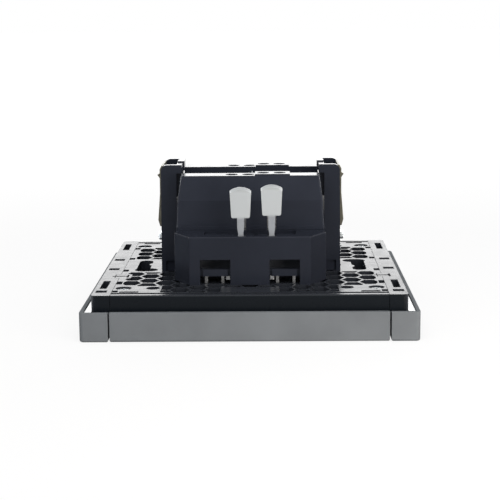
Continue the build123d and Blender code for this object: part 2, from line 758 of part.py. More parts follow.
# Plunger with a domed head under the rocker boss and a finger under the toggle
def make_plunger():
    head_top = plunger_low + plunger_head_height
    head = upright(0, 0, plunger_head_r, plunger_low, head_top)
    head = chamfer(head.faces().sort_by(Axis.Z)[0].edges(), plunger_head_height / 2)
    shaft = upright(0, 0, plunger_r, head_top, plunger_top)
    finger_top = plunger_top + finger_length
    finger = Polygon(
        (-finger_width / 2, plunger_top), (finger_width / 2, plunger_top),
        (finger_width / 4, finger_top), (-finger_width / 4, finger_top), align=None)
    return head + shaft + extrude(Plane.YZ * finger, finger_thick / 2, both=True)


# Coil that pushes the plunger back down
def make_plunger_spring():
    low = plunger_low + plunger_head_height + spring_wire_r + spring_seat
    high = frame_back - spring_wire_r - spring_seat
    radius = plunger_r + plunger_gap + spring_wire_r + terminal_fit
    rise = (high - low) / (spring_turns * spring_steps)
    line = []
    for i in range(spring_turns * spring_steps + 1):
        turn = 2 * pi * i / spring_steps
        line.append((radius * cos(turn), radius * sin(turn), low + i * rise))
    coil = Polyline(*line)
    wire = Plane(origin=coil @ 0, z_dir=coil % 0) * RegularPolygon(spring_wire_r, spring_wire_sides)
    return sweep(wire, path=coil, transition=Transition.RIGHT)


# Plastic toggle that the finger tips from one side to the other
def make_toggle_cradle():
    low = cradle_axis_z - cradle_below
    high = cradle_axis_z + cradle_above
    cradle = span(-cradle_width / 2, cradle_width / 2, -cradle_depth / 2, cradle_depth / 2, low, high)
    reach = cradle_width / 2
    for y in (-cradle_pit_y, cradle_pit_y):
        cradle -= crosswise(-reach - 1, reach + 1, y, low, cradle_pit_r)
    cradle += crosswise(-reach - cradle_pin_length, reach + cradle_pin_length, 0, cradle_axis_z, cradle_pin_r)
    return tilted(cradle)


# Brass blade on the toggle with a contact button at each end
def make_moving_contact():
    low = cradle_axis_z + cradle_above
    high = low + blade_thick
    left = terminal_left_x - blade_width / 2
    blade = span(left, left + blade_width, -blade_length / 2, blade_length / 2, low, high)
    for y in (-contact_y, contact_y):
        blade += upright(terminal_left_x, y, contact_r, high, high + contact_thick)
    return tilted(blade)


def tilted(piece):
    return Pos(0, 0, cradle_axis_z) * Rot(cradle_tilt, 0, 0) * Pos(0, 0, -cradle_axis_z) * piece


# Brass bar behind a pair of wire holes, with a fixed contact where the toggle meets it
def make_terminal_bar(x, with_contact):
    bar_top = chamber_z - bar_top_gap
    half = terminal_width / 2
    if not with_contact:
        return span(x - half, x + half, -bar_y - bar_thick, -bar_y, ledge_z - bar_drop, bar_top)
    tilt = radians(cradle_tilt)
    closed = (cradle_above + blade_thick + contact_thick) * cos(tilt) + (contact_y + contact_r) * sin(tilt)
    button_low = cradle_axis_z + closed + contact_gap
    tab_low = button_low + contact_thick
    bar = span(x - half, x + half, -bar_y - bar_thick, -bar_y, tab_low, bar_top)
    tab_x = contact_tab_width / 2
    inner = contact_y - contact_r - terminal_fit
    bar += span(x - tab_x, x + tab_x, -bar_y - bar_thick / 2, -inner, tab_low, tab_low + contact_tab_thick)
    return bar + upright(x, -contact_y, contact_r, button_low, tab_low)


# Steel clamp spring: blade against the bar, back along the wall, tail to the lever
def make_terminal_spring(x):
    middle = spring_y + spring_thick / 2
    top = chamber_z - bar_top_gap
    tip = bar_y + bar_thick + spring_thick
    tail_z = lever_arm_low + spring_tail_rise
    line = [
        (-tip, top - spring_blade_drop), (-middle, top - spring_thick),
        (-middle, ledge_low - spring_knee_drop), (-middle - spring_bend, tail_z + spring_bend_rise),
        (-spring_tail_y, tail_z)]
    strip = bent_strip(line, spring_thick)
    return extrude(Plane.YZ.offset(x) * strip, terminal_width / 2, both=True)


# Pale release lever: paddle, stem, cross pin and inner arm
def make_release_lever(x, lift):
    low = ledge_z + lever_paddle_low + lift
    high = low + lever_paddle_height
    brow = high - lever_crown
    top = lever_top_width / 2
    bottom = lever_bottom_width / 2
    edge = Polyline((-top, brow), (-bottom, low), (bottom, low), (top, brow))
    paddle = make_face(edge + ThreePointArc((top, brow), (0, high), (-top, brow)))
    paddle = fillet(paddle.vertices().group_by(Axis.Y)[0], lever_foot_r)
    paddle = extrude(Plane.XZ.offset(-lever_y - lever_thick / 2) * paddle, lever_thick)
    crown = paddle.faces().sort_by(Axis.Y)[0].edges().filter_by(GeomType.CIRCLE).sort_by(Axis.Z)[-1]
    paddle = chamfer(crown, lever_bevel)
    stem_x = lever_stem_width / 2
    neck_z = ledge_z + lever_neck_rise
    flank = [
        (stem_x, lever_axis_z), (lever_neck_width / 2, neck_z),
        (stem_x, neck_z + lever_neck_length), (stem_x, low + lever_foot_r)]
    stem = Polygon(*flank, *[(-u, v) for u, v in reversed(flank)], align=None)
    lever = extrude(Plane.XZ.offset(-lever_y - lever_thick / 2) * stem, lever_thick)
    arm_y = lever_arm_thick / 2
    lever += span(-stem_x, stem_x, lever_y - arm_y, lever_y + arm_y, lever_arm_low, lever_axis_z)
    lever += crosswise(-lever_pin_length / 2, lever_pin_length / 2, lever_y, lever_axis_z, lever_pin_r)
    return Pos(x, 0, 0) * (lever + paddle)


# Steel claw on the right side: bent plate with a slotted foot and two pairs of teeth
def make_claw():
    half_y = tower_y - tower_wall - claw_side_gap
    foot_in = claw_screw_x - claw_foot_reach
    foot_low = claw_foot_z - claw_thick / 2
    foot_high = claw_foot_z + claw_thick / 2
    bulge_x = claw_screw_x + claw_bulge
    bulge_z = claw_foot_z + claw_bulge_rise
    leg_x = tower_x + claw_leg_proud
    top = tower_top - claw_top_drop
    leg_z = top - claw_leg_length
    inner_x = leg_x - claw_thick
    section = Polygon(
        (foot_in, foot_low), (bulge_x - claw_thick / 2, foot_low), (bulge_x, bulge_z), (leg_x, leg_z),
        (leg_x, top - claw_thick), (inner_x + claw_thick / 2, top), (inner_x, top), (inner_x, leg_z),
        (bulge_x - claw_thick, bulge_z), (bulge_x - claw_thick, foot_high), (foot_in, foot_high), align=None)
    claw = extrude(Plane.XZ * section, half_y, both=True)
    gap = claw_screw_r + claw_window_gap
    window_top = claw_screw_top + claw_window_rise
    claw -= span(claw_screw_x, bulge_x + 1, -gap, gap, foot_low - 1, window_top)
    claw -= upright(claw_screw_x, 0, gap, foot_low - 1, window_top)
    tooth_z = top - claw_tooth_drop
    root_x = leg_x - claw_thick / 2
    tooth = Polygon(
        (root_x, tooth_z - claw_tooth_height), (leg_x + claw_tooth_reach, tooth_z),
        (root_x, tooth_z + claw_tooth_height / 2), align=None)
    for y in (half_y, -half_y + claw_tooth_width):
        claw += extrude(Plane.XZ.offset(-y) * tooth, claw_tooth_width)
    return claw


# Claw screw, turned from the front of the plate
def make_claw_screw():
    seat = plate_front + claw_head_seat
    head = upright(claw_screw_x, 0, claw_head_r, seat - claw_head_height, seat)
    head = chamfer(head.faces().sort_by(Axis.Z)[0].edges(), claw_head_r / 5)
    long = claw_screw_slot_length
    for length, width in ((long, claw_screw_slot), (claw_screw_slot, long)):
        head -= Pos(claw_screw_x, 0, seat - claw_head_height) * Box(length, width, claw_head_height)
    shank = upright(claw_screw_x, 0, claw_screw_r, seat, claw_screw_top)
    return head + chamfer(shank.faces().sort_by(Axis.Z)[-1].edges(), claw_screw_r / 4)


# Steel spring behind the crossbar of the right front window
def make_latch_spring():
    back = -block_half_y + crossbar_inset + crossbar_thick + latch_gap
    top = frame_back + crossbar_low + crossbar_height - latch_gap
    inner = window_inner_x + latch_inner_inset
    outer = window_outer_x - latch_outer_inset
    bridge = top - latch_bridge
    legs = Polygon(
        (inner, frame_back), (inner + latch_leg_width, frame_back), (inner + latch_leg_width, bridge),
        (outer - latch_leg_width, bridge), (outer - latch_leg_width, frame_back), (outer, frame_back),
        (outer, top), (inner, top), align=None)
    spring = extrude(Plane.XZ.offset(-back - latch_thick) * legs, latch_thick)
    tab_low = frame_back + latch_tab_low
    tab_high = tab_low + latch_tab_height
    tab_x = window_inner_x + latch_tab_inset
    tab_end = inner - latch_tab_gap
    near = back + latch_thick - latch_tab_depth
    spring += span(tab_x, inner, back, back + latch_thick, bridge, top)
    spring += span(tab_x, tab_end, back, back + latch_thick, tab_low, bridge)
    return spring + span(tab_x, tab_end, near, back, tab_low, tab_high)


# Lamp board seated in the pocket of the plate, and the lamp on it
def make_lamp_board():
    top = plate_front + lamp_pocket_depth
    board = Box(lamp_board_length, lamp_board_width, lamp_board_thick)
    return Pos(0, lens_y, top - lamp_board_thick / 2) * board


def make_lamp():
    top = plate_front + lamp_pocket_depth - lamp_board_thick
    return Pos(0, lens_y, top - lamp_height / 2) * Box(lamp_length, lamp_width, lamp_height)


strip = make_side_strip()
claw = make_claw()
claw_screw = make_claw_screw()
latch_spring = make_latch_spring()
nodes = {
    "rocker": make_rocker(),
    "light_lens": make_light_lens(),
    "side_strip_right": strip,
    "side_strip_left": mirror(strip, about=Plane.YZ),
    "side_rail_right": make_side_rail(True),
    "side_rail_left": mirror(make_side_rail(False), about=Plane.YZ),
    "frame_screws": make_frame_screws(),
    "support_plate": make_support_plate(),
    "housing": make_housing(),
    "terminal_cover": make_terminal_cover(),
    "inner_cover": make_inner_cover(),
    "plunger": make_plunger(),
    "plunger_spring": make_plunger_spring(),
    "toggle_cradle": make_toggle_cradle(),
    "moving_contact": make_moving_contact(),
    "claw_right": claw,
    "claw_left": mirror(claw, about=Plane.YZ),
    "claw_screw_right": claw_screw,
    "claw_screw_left": mirror(claw_screw, about=Plane.YZ),
    "lamp_board": make_lamp_board(),
    "lamp": make_lamp(),
}
lifts = {"left": 0.0, "right": lever_right_lift}
for side, x in terminals.items():
    lever = make_release_lever(levers[side], lifts[side])
    bar = make_terminal_bar(x, side == "left")
    clamp = make_terminal_spring(x)
    latch = latch_spring if side == "right" else mirror(latch_spring, about=Plane.YZ)
    pieces = {"release_lever": lever, "terminal_bar": bar, "terminal_spring": clamp, "latch_spring": latch}
    for end in ("front", "rear"):
        for name, piece in pieces.items():
            nodes[f"{name}_{end}_{side}"] = piece if end == "front" else mirror(piece, about=Plane.XZ)

os.makedirs("parts", exist_ok=True)
for name, piece in nodes.items():
    export_step(piece, f"parts/{name}.step")
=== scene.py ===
from math import cos, pi, radians, sin

import bpy
from mathutils import Matrix, Vector


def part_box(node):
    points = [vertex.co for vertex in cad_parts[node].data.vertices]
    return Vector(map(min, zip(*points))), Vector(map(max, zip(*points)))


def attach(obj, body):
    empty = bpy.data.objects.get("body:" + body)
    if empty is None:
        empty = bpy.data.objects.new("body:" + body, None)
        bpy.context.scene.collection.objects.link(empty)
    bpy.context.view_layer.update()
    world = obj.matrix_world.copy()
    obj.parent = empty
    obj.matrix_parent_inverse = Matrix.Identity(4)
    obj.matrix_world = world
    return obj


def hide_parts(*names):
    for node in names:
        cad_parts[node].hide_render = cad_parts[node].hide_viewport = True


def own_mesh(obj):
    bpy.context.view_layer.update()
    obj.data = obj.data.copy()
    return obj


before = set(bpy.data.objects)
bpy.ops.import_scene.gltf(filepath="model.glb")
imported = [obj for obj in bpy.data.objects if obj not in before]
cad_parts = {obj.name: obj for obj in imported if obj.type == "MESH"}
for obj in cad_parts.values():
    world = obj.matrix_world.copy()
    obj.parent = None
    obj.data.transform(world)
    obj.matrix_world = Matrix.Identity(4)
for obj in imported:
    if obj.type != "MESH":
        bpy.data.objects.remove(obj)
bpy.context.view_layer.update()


# Rocker: the large grey key that a finger presses, lying face down, so that only its edge shows.
# It is injection moulded in satin grey plastic, with a wall turned up along two edges.
# Two pins near the far edge snap into the support plate and let it swing.
rocker_grey = (0.158, 0.169, 0.179)
rocker_edge = 0.00012
noise_low = 0.3
noise_high = 0.7


def place_noise(tree, place, scale, detail):
    noise = tree.nodes.new("ShaderNodeTexNoise")
    noise.inputs["Scale"].default_value = scale
    noise.inputs["Detail"].default_value = detail
    tree.links.new(place.outputs["Object"], noise.inputs["Vector"])
    return noise


def spread(tree, source, low, high):
    ramp = tree.nodes.new("ShaderNodeMapRange")
    ramp.inputs["From Min"].default_value = noise_low
    ramp.inputs["From Max"].default_value = noise_high
    ramp.inputs["To Min"].default_value = low
    ramp.inputs["To Max"].default_value = high
    tree.links.new(source.outputs["Fac"], ramp.inputs["Value"])
    return ramp


def shade_between(tree, shader, source, dark, light):
    tones = tree.nodes.new("ShaderNodeValToRGB")
    tones.color_ramp.elements[0].position = noise_low
    tones.color_ramp.elements[0].color = (*dark, 1)
    tones.color_ramp.elements[1].position = noise_high
    tones.color_ramp.elements[1].color = (*light, 1)
    tree.links.new(source.outputs["Fac"], tones.inputs["Fac"])
    tree.links.new(tones.outputs["Color"], shader.inputs["Base Color"])


def grain_bump(tree, shader, source, strength, depth):
    bump = tree.nodes.new("ShaderNodeBump")
    bump.inputs["Strength"].default_value = strength
    bump.inputs["Distance"].default_value = depth
    tree.links.new(source.outputs["Fac"], bump.inputs["Height"])
    tree.links.new(bump.outputs["Normal"], shader.inputs["Normal"])


def moulded_plastic(name, colour, roughness, ior, grain):
    material = bpy.data.materials.new(name)
    material.use_nodes = True
    tree = material.node_tree
    shader = tree.nodes["Principled BSDF"]
    shader.inputs["IOR"].default_value = ior
    place = tree.nodes.new("ShaderNodeTexCoord")
    clouds = place_noise(tree, place, scale=90, detail=4)
    darker = [c * 0.92 for c in colour]
    lighter = [c * 1.08 for c in colour]
    shade_between(tree, shader, clouds, darker, lighter)
    sheen = place_noise(tree, place, scale=260, detail=3)
    sheen_spread = 0.03
    roughness_map = spread(tree, sheen, roughness - sheen_spread, roughness + sheen_spread)
    tree.links.new(roughness_map.outputs["Result"], shader.inputs["Roughness"])
    spark_texture = place_noise(tree, place, scale=5200, detail=2)
    grain_bump(tree, shader, spark_texture, strength=grain, depth=0.00002)
    return material


def round_edges(node, width):
    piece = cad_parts[node]
    weld = piece.modifiers.new("joined_faces", "WELD")
    weld.merge_threshold = 0.000002
    flats = piece.modifiers.new("whole_flats", "DECIMATE")
    flats.decimate_type = "DISSOLVE"
    flats.angle_limit = radians(0.5)
    edge = piece.modifiers.new("rounded_edges", "BEVEL")
    edge.width = width
    edge.segments = 2
    edge.limit_method = "ANGLE"
    edge.angle_limit = radians(28)
    edge.harden_normals = True
    edge.miter_outer = "MITER_ARC"


def dress(node, material):
    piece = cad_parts[node]
    piece.data.materials.clear()
    piece.data.materials.append(material)


satin_grey = moulded_plastic("satin_grey", rocker_grey, roughness=0.60, ior=1.01, grain=0.12)
dress("rocker", satin_grey)
round_edges("rocker", rocker_edge)


# Light window: a clear bar in the face of the rocker that the lamp behind it lights up.
# It is moulded in clear acrylic and pressed into its slot from the back, up to its flange.
lens_tint = (0.86, 0.90, 0.90)
clear_acrylic = bpy.data.materials.new("clear_acrylic")
clear_acrylic.use_nodes = True
lens_tree = clear_acrylic.node_tree
lens_shader = lens_tree.nodes["Principled BSDF"]
lens_shader.inputs["IOR"].default_value = 1.49
lens_shader.inputs["Transmission Weight"].default_value = 0.85
lens_place = lens_tree.nodes.new("ShaderNodeTexCoord")
lens_haze = place_noise(lens_tree, lens_place, scale=400, detail=3)
shade_between(lens_tree, lens_shader, lens_haze, [c * 0.95 for c in lens_tint], lens_tint)
lens_frost = spread(lens_tree, lens_haze, low=0.08, high=0.22)
lens_tree.links.new(lens_frost.outputs["Result"], lens_shader.inputs["Roughness"])
dress("light_lens", clear_acrylic)


# Side strips: the two fixed grey bars beside the rocker that finish the square front.
# They are moulded in the same grey plastic and painted; the ledge inside the rim stays bare
# and shiny. Each one clips over the rail behind it.
strip_edge = 0.00010
rim_width = 0.0010
ledge_drop = 0.0004
film = 0.00002
bare_grey = moulded_plastic("bare_grey", rocker_grey, roughness=0.16, ior=1.5, grain=0.03)


def added_piece(name, points, faces, material):
    mesh = bpy.data.meshes.new(name)
    mesh.from_pydata(points, [], faces)
    mesh.materials.append(material)
    piece = bpy.data.objects.new(name, mesh)
    bpy.context.scene.collection.objects.link(piece)
    return piece


for side, hand in (("left", -1), ("right", 1)):
    dress(f"side_strip_{side}", satin_grey)
    round_edges(f"side_strip_{side}", strip_edge)
    low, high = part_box(f"side_strip_{side}")
    rail_low, rail_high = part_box(f"side_rail_{side}")
    outer = max(abs(low.x), abs(high.x)) - rim_width
    inner = max(abs(rail_low.x), abs(rail_high.x)) + film
    reach = high.y - rim_width
    level = high.z - ledge_drop + film
    corners = [(inner, -reach), (outer, -reach), (outer, reach), (inner, reach)]
    points = [(hand * x, y, level) for x, y in corners]
    ledge = added_piece(f"strip_ledge_{side}", points, [(0, 1, 2, 3)[::hand]], bare_grey)
    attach(ledge, "base")


# Side rails: black bars under the strips, with slots for the clips of the strips.
# They are moulded in hard black plastic with a fine spark texture; the back and its pockets
# are painted paler as painted light, and the front and rear edges darker as painted shade. Screws from
# the back hold them.
frame_black = (0.0052, 0.0070, 0.0094)
frame_painted_light_black = (0.0225, 0.0250, 0.0310)
painted_shade_edge = 0.0004
rail_edge = 0.00018
rail_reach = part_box("side_rail_left")[1].y
gloss_black = moulded_plastic("gloss_black", frame_black, roughness=0.285, ior=1.18, grain=0.10)
frame_tree = gloss_black.node_tree
frame_shader = frame_tree.nodes["Principled BSDF"]
# Painted light and shade by position: the back is painted paler, and the front and rear edges darker.
frame_place = frame_tree.nodes.new("ShaderNodeTexCoord")
frame_spot = frame_tree.nodes.new("ShaderNodeSeparateXYZ")
frame_tree.links.new(frame_place.outputs["Object"], frame_spot.inputs["Vector"])
frame_depth = frame_tree.nodes.new("ShaderNodeMath")
frame_depth.operation = "ABSOLUTE"
frame_tree.links.new(frame_spot.outputs["Y"], frame_depth.inputs[0])
edge_fade = frame_tree.nodes.new("ShaderNodeMapRange")
edge_fade.inputs["From Min"].default_value = rail_reach
edge_fade.inputs["From Max"].default_value = rail_reach - painted_shade_edge
frame_tree.links.new(frame_depth.outputs["Value"], edge_fade.inputs["Value"])
frame_tones = frame_tree.nodes.new("ShaderNodeValToRGB")
frame_tones.color_ramp.elements[0].color = (*frame_black, 1)
frame_tones.color_ramp.elements[1].color = (*frame_painted_light_black, 1)
frame_tree.links.new(edge_fade.outputs["Result"], frame_tones.inputs["Fac"])
frame_tree.links.new(frame_tones.outputs["Color"], frame_shader.inputs["Base Color"])
for side in ("left", "right"):
    dress(f"side_rail_{side}", gloss_black)
    round_edges(f"side_rail_{side}", rail_edge)


# Support plate: the black middle plate with honeycomb pockets that carries the mechanism.
# It is moulded in the same hard black plastic; the pockets save material and keep it flat.
# Its two keyhole slots take the screws of the wall box.
# The plate wears the rails' material, so its back and its front and rear edges take the same painted
# light and shade.
dress("support_plate", gloss_black)


# Frame screws: four small pan head screws with a cross recess, sunk in the plate's corners.
# They are turned from steel and zinc plated, and bite into the lugs of the rails.
zinc_tone = (0.62, 0.65, 0.66)
frame_screw_edge = 0.00008


def plated_steel(name, tone, roughness, scratch):
    material = bpy.data.materials.new(name)
    material.use_nodes = True
    tree = material.node_tree
    shader = tree.nodes["Principled BSDF"]
    shader.inputs["Metallic"].default_value = 1.0
    place = tree.nodes.new("ShaderNodeTexCoord")
    tarnish = place_noise(tree, place, scale=700, detail=4)
    darker = [c * 0.8 for c in tone]
    lighter = [min(1, c * 1.1) for c in tone]
    shade_between(tree, shader, tarnish, darker, lighter)
    wear = place_noise(tree, place, scale=1500, detail=3)
    wear_spread = 0.08
    roughness_map = spread(tree, wear, roughness - wear_spread, roughness + wear_spread)
    tree.links.new(roughness_map.outputs["Result"], shader.inputs["Roughness"])
    drawn = tree.nodes.new("ShaderNodeMapping")
    drawn.inputs["Scale"].default_value = (1, 1, 0.08)
    tree.links.new(place.outputs["Object"], drawn.inputs["Vector"])
    lines = tree.nodes.new("ShaderNodeTexNoise")
    lines.inputs["Scale"].default_value = 9000
    tree.links.new(drawn.outputs["Vector"], lines.inputs["Vector"])
    grain_bump(tree, shader, lines, strength=scratch, depth=0.00001)
    return material


zinc_plate = plated_steel("zinc_plate", zinc_tone, roughness=0.30, scratch=0.15)
dress("frame_screws", zinc_plate)
round_edges("frame_screws", frame_screw_edge)


# Lamp board: a small printed board with one lamp, set in a pocket in the front of the plate.
# The board is glass fibre under green lacquer, and the lamp a white block soldered on it.
board_green = (0.020, 0.110, 0.045)
board_trace = (0.060, 0.230, 0.085)
lamp_cream = (0.78, 0.77, 0.68)
lamp_edge = 0.0001
lacquer = bpy.data.materials.new("board_lacquer")
lacquer.use_nodes = True
board_tree = lacquer.node_tree
board_shader = board_tree.nodes["Principled BSDF"]
board_shader.inputs["Roughness"].default_value = 0.25
board_place = board_tree.nodes.new("ShaderNodeTexCoord")
traces = board_tree.nodes.new("ShaderNodeTexBrick")
traces.inputs["Scale"].default_value = 260
traces.inputs["Mortar Size"].default_value = 0.03
traces.inputs["Color1"].default_value = (*board_green, 1)
traces.inputs["Color2"].default_value = (*board_green, 1)
traces.inputs["Mortar"].default_value = (*board_trace, 1)
board_tree.links.new(board_place.outputs["Object"], traces.inputs["Vector"])
board_tree.links.new(traces.outputs["Color"], board_shader.inputs["Base Color"])
dress("lamp_board", lacquer)
lamp_white = moulded_plastic("lamp_white", lamp_cream, roughness=0.3, ior=1.5, grain=0.05)
dress("lamp", lamp_white)
round_edges("lamp", lamp_edge)


# Housing: the black lower block with the towers that guide the claws and the lever slots.
# It is moulded in matt black plastic with a bluish cast, open below, and snaps on the plate.
housing_black = (0.0180, 0.0206, 0.0290)
matt_black = moulded_plastic("matt_black", housing_black, roughness=0.18, ior=1.14, grain=0.16)
dress("housing", matt_black)


# Inner cover: the floor of the housing, with two posts that carry the toggle.
# It is moulded in a dull black plastic and lies on the plate inside the housing. A low wall
# along its front and rear edge screens the inside from the windows.
inner_black = (0.030, 0.032, 0.039)
screen_tone = (0.082, 0.090, 0.106)
dull_black = moulded_plastic("dull_black", inner_black, roughness=0.8, ior=1.1, grain=0.2)
screen_grey = moulded_plastic("screen_grey", screen_tone, roughness=0.8, ior=1.1, grain=0.2)
dress("inner_cover", dull_black)
floor_thick = 0.0015
screen_thick = 0.0008
screen_height = 0.00553
screen_end = 0.0001


def block(name, low, high, material, body):
    xs, ys, zs = zip(low, high)
    points = [(x, y, z) for z in zs for y in ys for x in xs]
    faces = [(0, 2, 3, 1), (4, 5, 7, 6), (0, 1, 5, 4), (2, 6, 7, 3), (0, 4, 6, 2), (1, 3, 7, 5)]
    piece = added_piece(name, points, faces, material)
    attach(piece, body)
    return piece


low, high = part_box("inner_cover")
screen_low = low.z + floor_thick
screen_high = screen_low + screen_height
for end, edge in (("front", low.y), ("rear", high.y - screen_thick)):
    block(f"window_screen_{end}", (low.x + screen_end, edge, screen_low),
          (high.x - screen_end, edge + screen_thick, screen_high), screen_grey, "base")


# Plunger and its coil: the rocker pushes the plunger up, and the coil sends it back.
# The plunger is pale nylon, guided by the inner cover; the coil is wound from spring steel
# and is squeezed between the head of the plunger and the cover.
pale_nylon_tone = (0.50, 0.535, 0.54)
spring_tone = (0.38, 0.38, 0.38)
plunger_edge = 0.00012
pale_nylon = moulded_plastic("pale_nylon", pale_nylon_tone, roughness=0.42, ior=1.5, grain=0.06)
spring_steel = plated_steel("spring_steel", spring_tone, roughness=0.32, scratch=0.1)
dress("plunger", pale_nylon)
round_edges("plunger", plunger_edge)
coil_wire = 0.00035
coil_turns = 4
coil_steps = 24
coil_sides = 10
low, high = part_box("plunger_spring")
coil_radius = (high.x - low.x) / 2 - coil_wire
coil_rise = high.z - low.z - 2 * coil_wire
coil_length = coil_turns * coil_steps
points = []
faces = []
for i in range(coil_length + 1):
    turn = 2 * pi * i / coil_steps
    rise = low.z + coil_wire + coil_rise * i / coil_length
    outward = Vector((cos(turn), sin(turn), 0))
    middle = outward * coil_radius + Vector((0, 0, rise))
    for k in range(coil_sides):
        lean = 2 * pi * k / coil_sides
        points.append(middle + (outward * cos(lean) + Vector((0, 0, sin(lean)))) * coil_wire)
        if i:
            a = (i - 1) * coil_sides + k
            b = (i - 1) * coil_sides + (k + 1) % coil_sides
            faces.append((a, a + coil_sides, b + coil_sides, b))
last_ring = range(len(points) - coil_sides, len(points))
faces += [tuple(range(coil_sides)), tuple(reversed(last_ring))]
coil = added_piece("plunger_coil", points, faces, spring_steel)
coil.data.polygons.foreach_set("use_smooth", [True] * len(faces))
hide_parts("plunger_spring")
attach(coil, "base")
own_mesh(coil)


# Toggle: a pale nylon seesaw on the two posts, with the moving contact riveted on top.
# The contact is a strip of brass with a button at each end.
brass_tone = (0.70, 0.50, 0.21)
cradle_edge = 0.00012
brass = plated_steel("brass", brass_tone, roughness=0.34, scratch=0.12)
dress("toggle_cradle", pale_nylon)
round_edges("toggle_cradle", cradle_edge)
dress("moving_contact", brass)


# Terminals: behind each lever a brass bar and a bent steel spring clamp two wires.
# Both are stamped from strip and drop into the chambers under the terminal cover.
for end in ("front", "rear"):
    for side in ("left", "right"):
        dress(f"terminal_bar_{end}_{side}", brass)
        dress(f"terminal_spring_{end}_{side}", spring_steel)


# Terminal cover: the black upper block with two ridges of wire holes and a channel between.
# It is moulded in black plastic like the housing, painted a little paler as painted light on the shaded
# channel walls, and snaps on its ledge.
# A thin pale strip beside the rib in the channel is a painted highlight on the rib's lit edge.
cover_painted_light_black = (0.0206, 0.0236, 0.0332)
cover_edge = 0.00020
# Painted light: the cover's black is a paler copy of the housing's black.
paler_painted_black = moulded_plastic("paler_painted_black", cover_painted_light_black, roughness=0.22, ior=1.14, grain=0.16)
dress("terminal_cover", paler_painted_black)
round_edges("terminal_cover", cover_edge)
channel_rib_x = -0.0003
channel_rib_wall = 0.0008
# Painted highlight: a thin pale strip beside the rib stands for its lit edge.
rib_highlight_width = 0.0004
rib_highlight_height = 0.0014
rib_highlight_near = 0.0066
rib_highlight_far = 0.0073
rib_highlight_drop = 0.0031
rib_highlight_x = channel_rib_x + channel_rib_wall / 2
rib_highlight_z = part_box("terminal_cover")[1].z - rib_highlight_drop
block("channel_rib_highlight", (rib_highlight_x, rib_highlight_near, rib_highlight_z),
      (rib_highlight_x + rib_highlight_width, rib_highlight_far, rib_highlight_z + rib_highlight_height),
      pale_nylon, "base")


# Release levers: pale paddles that are pressed towards the middle to let a wire go.
# They are moulded in pale grey nylon and turn on a cross pin under the ledge. The thin stem is
# painted darker as painted shade under the paddle, and the brow at the top is painted darker to hold
# back the light it catches from above.
paddle_tone = (0.405, 0.428, 0.440)
brow_painted_shade = (0.280, 0.296, 0.304)
stem_painted_shade = (0.240, 0.255, 0.276)
paddle_height = 0.0080
stem_fade = 0.0004
brow_drop = 0.0010
lever_edge = 0.00022
for side in ("left", "right"):
    low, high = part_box(f"release_lever_front_{side}")
    nylon = moulded_plastic(f"lever_nylon_{side}", paddle_tone, roughness=0.42, ior=1.5, grain=0.06)
    lever_tree = nylon.node_tree
    lever_shader = lever_tree.nodes["Principled BSDF"]
    # Painted shade: by height, the stem and the brow are painted darker than the paddle.
    lever_place = lever_tree.nodes.new("ShaderNodeTexCoord")
    lever_height = lever_tree.nodes.new("ShaderNodeSeparateXYZ")
    lever_tree.links.new(lever_place.outputs["Object"], lever_height.inputs["Vector"])
    fade = lever_tree.nodes.new("ShaderNodeMapRange")
    fade.inputs["From Min"].default_value = high.z - paddle_height - stem_fade
    fade.inputs["From Max"].default_value = high.z
    lever_tree.links.new(lever_height.outputs["Z"], fade.inputs["Value"])
    tones = lever_tree.nodes.new("ShaderNodeValToRGB")
    tones.color_ramp.elements[0].color = (*stem_painted_shade, 1)
    tones.color_ramp.elements[1].color = (*brow_painted_shade, 1)
    for drop in (paddle_height - stem_fade, brow_drop + stem_fade):
        stop = tones.color_ramp.elements.new(1 - drop / (paddle_height + stem_fade))
        stop.color = (*paddle_tone, 1)
    lever_tree.links.new(fade.outputs["Result"], tones.inputs["Fac"])
    lever_tree.links.new(tones.outputs["Color"], lever_shader.inputs["Base Color"])
    for end in ("front", "rear"):
        dress(f"release_lever_{end}_{side}", nylon)
        round_edges(f"release_lever_{end}_{side}", lever_edge)


# Latch springs: bright steel legs behind the crossbar of each window in the housing.
# They are stamped from spring steel and hold the mechanism on the plate.
latch_edge = 0.0001
for end in ("front", "rear"):
    for side in ("left", "right"):
        dress(f"latch_spring_{end}_{side}", spring_steel)
        round_edges(f"latch_spring_{end}_{side}", latch_edge)


